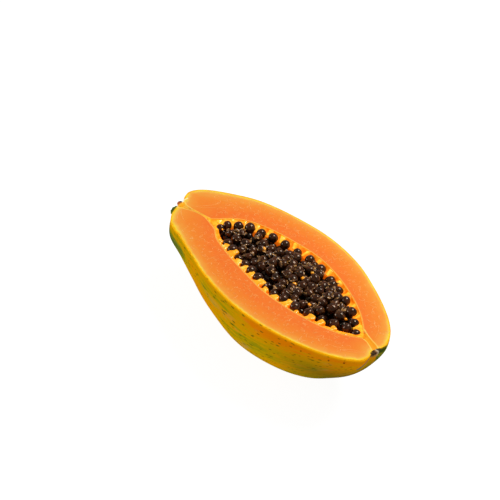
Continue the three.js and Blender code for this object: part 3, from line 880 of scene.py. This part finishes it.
def build_fibres():
    """Short curled fibres all over the cut flesh."""
    random = random_stream(FIBRE_DRAW)
    steps = np.linspace(0, 1, 400)
    outer = np.concatenate([spline(FRUIT_RINGS[:, 0:2], steps), spline(FRUIT_RINGS[:, 2:4], steps)[::-1]])
    inner = np.concatenate([spline(CAVITY_RINGS[:, 0:2], steps), spline(CAVITY_RINGS[:, 2:4], steps)[::-1]])
    spots = np.array([
        (x + FIBRE_SPACING * (next(random) - 0.5), y + FIBRE_SPACING * (next(random) - 0.5))
        for x in np.arange(-100, 100, FIBRE_SPACING)
        for y in np.arange(-42, 61, FIBRE_SPACING)
    ])
    far, near = spline(FRUIT_RINGS[:, 0:2], steps), spline(FRUIT_RINGS[:, 2:4], steps)
    hollow_far, hollow_near = spline(CAVITY_RINGS[:, 0:2], steps), spline(CAVITY_RINGS[:, 2:4], steps)
    x, y = spots.T
    in_fruit = (y < np.interp(x, *far[20:-20].T)) & (y > np.interp(x, *near[20:-20].T))
    in_hollow = (y < np.interp(x, *hollow_far.T)) & (y > np.interp(x, *hollow_near.T)) & (x > -75) & (x < 86)
    rim_gap, hollow_gap = loop_distance(spots, outer), loop_distance(spots, inner)
    tips = (np.hypot(x + 100, y) > 26) & (np.hypot(x - 100, y) > 18)
    fits = in_fruit & ~in_hollow & (rim_gap > FIBRE_RIM_GAP) & (hollow_gap > FIBRE_HOLLOW_GAP) & tips
    parts = []
    for spot in spots[fits]:
        heading = 2 * math.pi * next(random)
        bend = (0.8 + 2.8 * next(random)) * (1 if next(random) > 0.5 else -1)
        swerve = 3.0 * (next(random) - 0.5)
        length = 2.2 + 4.8 * next(random) ** 1.5
        t = np.linspace(0, 1, FIBRE_STEPS)
        turn = heading + bend * t + swerve * np.sin(2 * math.pi * t)
        step = length / FIBRE_STEPS * np.stack([np.cos(turn), np.sin(turn)], 1)
        line = spot + np.cumsum(step, 0)
        parts.append(strand(line, FIBRE_HALF_WIDTH * (0.7 + 0.6 * next(random)), FIBRE_HEIGHT))
    for start, end in LONG_STRANDS:
        t = np.linspace(0, 1, 24)[:, None]
        bow = np.array([end[1] - start[1], start[0] - end[0]]) * 0.08
        line = np.array(start) * (1 - t) + np.array(end) * t + bow * np.sin(math.pi * t)
        parts.append(strand(line, LONG_STRAND_HALF_WIDTH, FIBRE_HEIGHT * 0.6))
    points, faces = joined(parts)
    make_piece("flesh_fibres", points, faces, [FIBRE], "papaya_half")


def random_stream(state):
    """A repeatable stream of numbers from 0 to 1."""
    while True:
        state = (1664525 * state + 1013904223) & 0xFFFFFFFF
        yield state / 4294967296


build_fibres()


# Seeds.


class Edge:
    """One edge of the hollow."""

    def __init__(self, columns):
        self.points = CAVITY_RINGS[:, columns]
        self.steps = spline(self.points, np.linspace(0, 1, 201))
        self.lengths = np.concatenate([[0], np.cumsum(np.hypot(*np.diff(self.steps, axis=0).T))])

    def walk(self, shift):
        """Steps along the far edge, closest near the stem end, all moved on by a share of a step."""
        count = int(self.lengths[-1] // FAR_SEED_STEP)
        closest = 2 * math.pi * FAR_SEED_CLOSEST
        for i in range(1, count):
            even = (i + shift) / count
            swing = math.sin(2 * math.pi * even - closest) + math.sin(closest)
            share = even - FAR_SEED_SWELL / (2 * math.pi) * swing
            u = np.interp(share * self.lengths[-1], self.lengths, np.linspace(0, 1, 201))
            along = spline(self.points, u + 1e-4) - spline(self.points, u - 1e-4)
            along /= np.hypot(*along)
            yield spline(self.points, u), np.array([along[1], -along[0]])

    def at(self, x):
        low, high = 0.0, 1.0
        for _ in range(40):
            middle = (low + high) / 2
            if spline(self.points, middle)[0] < x:
                low = middle
            else:
                high = middle
        return spline(self.points, low)[1]


FAR_EDGE, NEAR_EDGE = Edge([0, 1]), Edge([2, 3])


def least_seed_y(x, inset):
    """The least y of a seed at x, which is further from the near edge at the blossom end."""
    return NEAR_EDGE.at(x) + inset + BLOSSOM_INSET * np.interp(x, BLOSSOM_X, (0, 1))


def seed_places():
    """Where the seeds lie, as in the solid model: (place, scale, turn, whether it is in an edge row)."""
    random = random_stream(RANDOM_SEED)
    places = [point + inward * FAR_SEED_INSET for point, inward in FAR_EDGE.walk(FAR_SEED_SHIFT)]
    far_row = len(places)
    places.append(np.array(TIP_SEED, float))
    for one, other in zip(NEAR_STUBS[:-1], NEAR_STUBS[1:]):
        x = (one[0] + other[0]) / 2
        places.append(np.array([x, least_seed_y(x, NEAR_SEED_INSET)]))
    edge_rows = len(places)
    low, high = CAVITY_RINGS[6, 3], CAVITY_RINGS[6, 1]
    row = 0
    while low + row * LOOSE_SEED_ROW < high:
        x = CAVITY_RINGS[0, 0] + (row % 2) * (LOOSE_SEED_STEP / 2)
        while x < CAVITY_RINGS[-1, 0]:
            place = np.array([
                x + LOOSE_SEED_STRAY * (2 * next(random) - 1),
                low + row * LOOSE_SEED_ROW + LOOSE_SEED_STRAY * (2 * next(random) - 1),
            ])
            inside = (
                CAVITY_RINGS[2, 0] < place[0] < CAVITY_RINGS[-2, 0]
                and least_seed_y(place[0], LOOSE_SEED_NEAR_INSET) < place[1]
                and place[1] < FAR_EDGE.at(place[0]) - LOOSE_SEED_INSET
            )
            if inside and all(np.hypot(*(other - place)) >= LEAST_SEED_SPACING for other in places):
                places.append(place)
            x += LOOSE_SEED_STEP
        row += 1
    found = []
    for number, place in enumerate(places):
        low, high = NEAR_EDGE.at(place[0]), FAR_EDGE.at(place[0])
        middleness = 1 - abs((2 * place[1] - low - high) / (high - low)) ** 2
        z = SEED_LEVEL + SEED_MOUND * middleness + SEED_RISE * (2 * next(random) - 1)
        scale = 1 + (FAR_SEED_EXTRA if number < far_row else 0) + SEED_SIZE_SPREAD * (2 * next(random) - 1)
        tilt = math.pi * (next(random) - 0.5)
        turn = 2 * math.pi * next(random)
        rows_in = (number < far_row, number < edge_rows)
        found.append((np.array([*place, z]), scale, Euler((0, tilt, turn)), *rows_in))
    return found


SEED_PLACES = seed_places()


SEED_FULLNESS = 1.02  # the round seeds are slightly fuller than the solid model's


def build_seeds():
    unit, unit_faces = ball()
    parts, which, film = [], [], []
    for number, (place, scale, turn, in_far_row, in_row) in enumerate(SEED_PLACES):
        size = 0.5 * scale * np.array([SEED_LENGTH, SEED_THICKNESS, SEED_THICKNESS])
        uneven = 0.04 if in_far_row else 0.07 if in_row else 0.13
        shape = lumpy(unit, uneven, 0.8, number * 1.37) * size * SEED_FULLNESS
        parts.append((shape @ np.array(turn.to_matrix()).T + place, unit_faces))
        which.append(np.full(len(unit), (number * 0.618) % 1))
        film.append(np.full(len(unit), 0.0 if in_far_row else 0.4 if in_row else 1.0))
    points, faces = joined(parts)
    values = {"which": np.concatenate(which), "film": np.concatenate(film)}
    make_piece("seeds_fine", points, faces, [SEED], "seeds", values)


def build_buried_seeds():
    """Seeds of the layer below, which show in the gaps between the upper ones."""
    random = random_stream(BURIED_DRAW)
    unit, unit_faces = ball(16, 10)
    parts = []
    for x in np.arange(-62, 80, BURIED_SEED_STEP):
        for y in np.arange(-12, 36, BURIED_SEED_STEP):
            spot = np.array([x, y, BURIED_SEED_LEVEL])
            spot += [2 * next(random) - 1, 2 * next(random) - 1, -next(random)]
            if least_seed_y(spot[0], 6) < spot[1] < FAR_EDGE.at(spot[0]) - 5:
                shape = lumpy(unit, 0.1, 0.8, len(parts) + 500) * SEED_THICKNESS / 2
                parts.append((shape + spot, unit_faces))
    points, faces = joined(parts)
    # The lower seeds are darkened as painted shade.
    values = {"which": np.full(len(points), 0.2), "shade_below": np.full(len(points), 0.8)}
    make_piece("seeds_below", points, faces, [SEED], "seeds", values)


def build_bed():
    u = np.linspace(0.03, 0.97, 90)
    across = np.linspace(-0.9, 0.9, 40)
    grid = hollow_surface(u[:, None] + 0 * across, across + 0 * u[:, None])
    top = SEED_BED_LEVEL - BED_SINK + 0.4 * wobble(grid, 3.2, 8)
    floor = np.minimum(grid[..., 2] + 0.4, top - 0.2)
    upper = grid.copy()
    upper[..., 2] = top
    lower = grid.copy()
    lower[..., 2] = floor
    wide = len(across)
    count = len(u) * wide
    points = np.concatenate([upper.reshape(-1, 3), lower.reshape(-1, 3)])
    faces = []
    for i in range(len(u) - 1):
        for j in range(wide - 1):
            a, b, c, d = i * wide + j, (i + 1) * wide + j, (i + 1) * wide + j + 1, i * wide + j + 1
            faces.append((a, b, c, d))
            faces.append((count + d, count + c, count + b, count + a))
    ring = [i * wide for i in range(len(u))] + [(len(u) - 1) * wide + j for j in range(1, wide)]
    ring += [i * wide + wide - 1 for i in range(len(u) - 2, -1, -1)] + list(range(wide - 2, 0, -1))
    for a, b in zip(ring, ring[1:] + ring[:1]):
        faces.append((b, a, count + a, count + b))
    make_piece("seed_bed", points, faces, [BED], "seeds")


build_seeds()
build_buried_seeds()
build_bed()


# Pulp stubs, strands and loose bits.


# Strands across the stem end's tip of the hollow, each from x, y to x, y.
TIP_STRANDS = [((-70.3, 9.5), (-58.9, 5.8)), ((-68.5, 4.0), (-64.8, 7.6))]


def build_pulp():
    # The second list holds depths for the painted shade of deeper pulp, the third how strongly each point
    # glows as painted light.
    parts, below, painted_glow = [], [], []
    for number, (x, length, radius, lean) in enumerate(NEAR_STUBS):
        start = np.array([x, NEAR_EDGE.at(x), STUB_LEVEL])
        ahead = np.array([lean, 1, STUB_TIP_RISE / length])
        ahead /= np.linalg.norm(ahead)
        steps = np.linspace(-STUB_ROOT, length, 22)
        share = np.clip(steps / length, 0, 1)
        bow = np.array([0.5, 0, 0.25]) * math.sin(number * 2.4)
        centres = start + steps[:, None] * ahead + (share * (1 - share))[:, None] * 4 * bow
        waist = 0.9 + 0.12 * math.sin(number * 3.3)
        body = np.interp(share, [0, 0.35, 0.75, 0.9], [1.0, waist, 1.06, 1.0])
        blunt = 0.55 * radius
        tip = np.sqrt(np.clip(1 - ((steps - (length - blunt)) / blunt).clip(0, 0.999) ** 2, 0, 1))
        points, faces = tube(centres, radius * body * tip, STUB_SIDES)
        off = points - np.repeat(centres, STUB_SIDES, 0)
        flare = STUB_FLARE if x < SLIM_STUBS_FROM_X else SLIM_FLARE
        wide = STUB_SPREAD - 1 + (flare - 0.9) * smoothstep(0.45, 0, np.repeat(share, STUB_SIDES))
        points += off * (0.3 * wobble(points, 2.4, number))[:, None] + off * wide[:, None] * [1, 0, 0]
        ceiling = STUB_TOP + 0.3 * wobble(points, 2.0, number + 20)
        ceiling -= 0.5 * smoothstep(1.0, -1.0, points[:, 1] - start[1])
        points[:, 2] = np.minimum(points[:, 2], ceiling)
        parts.append((points, faces))
        below.append(-0.7 * points[:, 2])
        painted_glow.append(np.zeros(len(points)))
    for number, (point, inward) in enumerate(FAR_EDGE.walk(FAR_SEED_SHIFT - 0.5)):
        odd = [math.sin(number * k + k * k) for k in (5.1, 3.7, 1.9, 7.3)]
        wide = FAR_STRAND_RADIUS + 0.25 * odd[0]
        length = FAR_STRAND_LENGTH + 0.9 * odd[1]
        share = np.linspace(-0.2, 1, 14)
        centres = np.stack([
            point[0] + 0.5 * odd[3] + inward[0] * length * share + 1.2 * odd[2] * share,
            point[1] + inward[1] * length * share,
            -1.9 - 1.6 * np.clip(share, 0, 1) ** 1.2,
        ], -1)
        points, faces = tube(centres, wide * (1.7 - 0.9 * share.clip(0, 1) ** 0.6), FAR_STRAND_SIDES)
        points += (points - np.repeat(centres, FAR_STRAND_SIDES, 0)) * (0.25 * wobble(points, 2.2, number + 60))[:, None]
        points[:, 2] = np.minimum(points[:, 2], FAR_STRAND_TOP)
        parts.append((points, faces))
        below.append(-0.3 * points[:, 2])
        painted_glow.append(smoothstep(4.5, 2.0, -points[:, 2]))
    for start, end in TIP_STRANDS:
        share = np.linspace(0, 1, 12)[:, None]
        centres = np.array([*start, -0.9]) * (1 - share) + np.array([*end, -1.4]) * share
        parts.append(tube(centres, np.full(12, 0.5), 10))
        below.append(-0.3 * parts[-1][0][:, 2])
        painted_glow.append(np.full(len(parts[-1][0]), 0.6))
    points, faces = joined(parts)
    values = {"below_mm": np.concatenate(below), "painted_glow": np.concatenate(painted_glow)}
    make_piece("pulp_stubs", points, faces, [PULP], "papaya_half", values)


build_pulp()

# Small lumps of pulp between the seeds: x, y, radius.
LOOSE_BITS = [
    (-25.6, 14.6, 1.9), (15.5, 15, 1.4), (16.7, 6.2, 1.6), (39.5, -0.4, 1.4), (14.6, 24.5, 1.2),
    (29.4, 22.4, 1.3), (51.4, 10.2, 1.3), (-3, 3, 1.1), (-5, 18, 0.9), (64, 9, 1.0), (-40, 8, 1.0),
]


def build_bits():
    unit, unit_faces = ball(16, 10)
    parts = []
    for number, (x, y, radius) in enumerate(LOOSE_BITS):
        shape = lumpy(unit, 0.3, 0.8, number + 90) * radius * [1.1, 0.9, 0.8]
        parts.append((shape + [x, y, -1.6], unit_faces))
    points, faces = joined(parts)
    # Their depth sets the painted shade of the pulp colour.
    make_piece("pulp_bits", points, faces, [PULP], "seeds", {"below_mm": 0.9 - 0.4 * points[:, 2]})


build_bits()


def aril_look():
    look = Look("papaya_aril")
    tone = look.noise(look.place(), 1.4, 2, 0.5, 0.4)
    look.set(Base_Color=look.ramp(tone, [
        (0.3, rgb(52, 28, 10)),
        (0.5, rgb(112, 72, 30)),
        (0.7, rgb(212, 160, 92)),
    ]))
    look.set(Roughness=0.16, Specular_IOR_Level=0.6)
    return look.material


ARIL = aril_look()
ARIL_BITS = 170
ARIL_DRAW = 77


def build_arils():
    """Wet shreds of the seeds' skins, caught between the inner seeds."""
    random = random_stream(ARIL_DRAW)
    inner = [place for place, _, _, _, in_row in SEED_PLACES if not in_row]
    unit, unit_faces = ball(12, 8)
    parts = []
    for number in range(ARIL_BITS):
        home = inner[int(next(random) * len(inner))]
        angle = 2 * math.pi * next(random)
        spot = home + [3.1 * math.cos(angle), 3.1 * math.sin(angle), 1.2 + 1.0 * next(random)]
        size = np.array([1.4 + 1.1 * next(random), 0.8 + 0.5 * next(random), 0.35 + 0.2 * next(random)])
        shape = lumpy(unit, 0.45, 0.7, number + 300) * size
        turn = Euler((1.6 * (next(random) - 0.5), 1.6 * (next(random) - 0.5), 2 * math.pi * next(random)))
        parts.append((shape @ np.array(turn.to_matrix()).T + spot, unit_faces))
    points, faces = joined(parts)
    make_piece("aril_shreds", points, faces, [ARIL], "seeds")


build_arils()


# The stalk's stump and the flower's scar.


def build_stalk():
    length = STALK_ROOT_X - STALK_TIP_X
    unit, unit_faces = ball(40, 24)
    points = unit * [length / 2, STALK_RADIUS * 1.05, STALK_RADIUS * 1.05]
    points += [(STALK_ROOT_X + STALK_TIP_X) / 2, 0, 0]
    points += unit * (0.5 * wobble(points, 1.2, 4))[:, None]
    points[:, 0] -= 0.3 * points[:, 1]
    points[:, 2] = np.minimum(points[:, 2], -0.1 + 0.25 * wobble(points, 1.0, 6))
    points[:, 0] = np.maximum(points[:, 0], STALK_TIP_X + 0.1)
    values = {"tip": smoothstep(-99.6, -100.8, points[:, 0] + 0.3 * points[:, 1]), "side_mm": points[:, 1]}
    make_piece("stalk_fine", points, unit_faces, [STALK], "stalk_stump", values)


def build_scar():
    unit, unit_faces = ball(48, 28)
    turn = np.arctan2(unit[:, 2], unit[:, 1])
    arms = 0.9 + 0.1 * np.cos(5 * turn - 0.6)
    thick = (SCAR_X[1] - SCAR_X[0]) / 2
    points = unit * [thick, SCAR_RADIUS, SCAR_RADIUS] * np.stack([np.ones(len(unit)), arms, arms], 1)
    points += [sum(SCAR_X) / 2, SCAR_Y - 0.6, 0]
    points += unit * (0.5 * wobble(points, 1.3, 9) + 0.25 * wobble(points, 0.6, 12))[:, None]
    points[:, 2] = np.minimum(points[:, 2], -0.05 + 0.3 * wobble(points, 0.9, 13))
    points[:, 0] = np.minimum(points[:, 0], 101.35)
    values = {"side_mm": points[:, 1], "below_mm": -points[:, 2]}
    make_piece("scar_fine", points, unit_faces, [SCAR], "blossom_scar", values)


# The green fold of skin beside the stalk: x, y, radius.
FOLD_LUMPS = [(-99.4, -4.4, 1.0), (-98.8, -6.4, 1.5), (-97.3, -8.8, 1.5), (-95.4, -11, 1.0)]


def build_fold():
    unit, unit_faces = ball(24, 16)
    parts = []
    for number, (x, y, radius) in enumerate(FOLD_LUMPS):
        shape = lumpy(unit, 0.15, 0.9, number + 40) * radius * [1, 1.2, 1]
        shape[:, 2] = np.minimum(shape[:, 2], 0.75 * radius)
        parts.append((shape + [x, y, -0.4 - 0.75 * radius], unit_faces))
    points, faces = joined(parts)
    make_piece("stem_fold", points, faces, [FOLD], "papaya_half")


build_fold()
build_stalk()
build_scar()


# Camera, light and floor.

VIEW_AZIMUTH, VIEW_ELEVATION, VIEW_ROLL = (math.radians(a) for a in (47.0, 36.0, 4.973))
VIEW_DISTANCE = 900.0  # from the axis point to the plane of the lens
FOCAL_PIXELS = 1337.4
PICTURE = 500.0
AXIS_POINT_PIXEL = (271.36, 272.87)  # where the fruit's axis point falls
SENSOR = 36.0
LIGHT_AIM = (0, 0, 0.03)
WORLD_LIGHT = 0.32
FLOOR_HALF = 4.0
FLOOR_TONE = 0.15
FLOOR_GLOW = 0.94


def build_camera():
    back = np.array([
        math.sin(VIEW_AZIMUTH) * math.cos(VIEW_ELEVATION),
        -math.cos(VIEW_AZIMUTH) * math.cos(VIEW_ELEVATION),
        math.sin(VIEW_ELEVATION),
    ])
    level = np.array([math.cos(VIEW_AZIMUTH), math.sin(VIEW_AZIMUTH), 0])
    upright = np.cross(back, level)
    right = level * math.cos(VIEW_ROLL) + upright * math.sin(VIEW_ROLL)
    up = upright * math.cos(VIEW_ROLL) - level * math.sin(VIEW_ROLL)
    offset_x = (AXIS_POINT_PIXEL[0] - PICTURE / 2) * VIEW_DISTANCE / FOCAL_PIXELS
    offset_y = (PICTURE / 2 - AXIS_POINT_PIXEL[1]) * VIEW_DISTANCE / FOCAL_PIXELS
    place = (back * VIEW_DISTANCE - right * offset_x - up * offset_y + AXIS_AT) * MM
    data = bpy.data.cameras.new("camera")
    data.sensor_fit = "HORIZONTAL"
    data.sensor_width = SENSOR
    data.lens = FOCAL_PIXELS / PICTURE * SENSOR
    data.clip_start = 0.01
    camera = bpy.data.objects.new("camera", data)
    bpy.context.scene.collection.objects.link(camera)
    turned = Matrix([right, up, back]).transposed().to_4x4()
    camera.matrix_world = Matrix.Translation(Vector(place)) @ turned
    bpy.context.scene.camera = camera


def area_light(name, place, size, power):
    data = bpy.data.lights.new(name, "AREA")
    data.size = size
    data.energy = power
    light = bpy.data.objects.new(name, data)
    light.location = place
    light.rotation_euler = (Vector(LIGHT_AIM) - Vector(place)).to_track_quat("-Z", "Y").to_euler()
    bpy.context.scene.collection.objects.link(light)


build_camera()
area_light("key", (0.14, 0.4, 0.86), 0.42, 8.0)
area_light("left", (-0.66, -0.62, 0.3), 0.3, 2.2)

world = bpy.data.worlds.new("studio")
world.use_nodes = True
world.node_tree.nodes["Background"].inputs[0].default_value = (1, 1, 1, 1)
world.node_tree.nodes["Background"].inputs[1].default_value = WORLD_LIGHT
bpy.context.scene.world = world
bpy.context.scene.view_settings.view_transform = "Standard"

floor_mesh = bpy.data.meshes.new("floor")
corners = [(x * FLOOR_HALF, y * FLOOR_HALF, 0) for x, y in ((-1, -1), (1, -1), (1, 1), (-1, 1))]
floor_mesh.from_pydata(corners, [], [(0, 1, 2, 3)])
floor = bpy.data.objects.new("floor", floor_mesh)
bpy.context.scene.collection.objects.link(floor)
paper = Look("floor_paper")
paper.set(Base_Color=(FLOOR_TONE, FLOOR_TONE, FLOOR_TONE, 1), Roughness=0.9, Specular_IOR_Level=0.0)
paper.set(Emission_Color=(1, 1, 1, 1), Emission_Strength=FLOOR_GLOW)
floor_mesh.materials.append(paper.material)

bpy.context.view_layer.update()
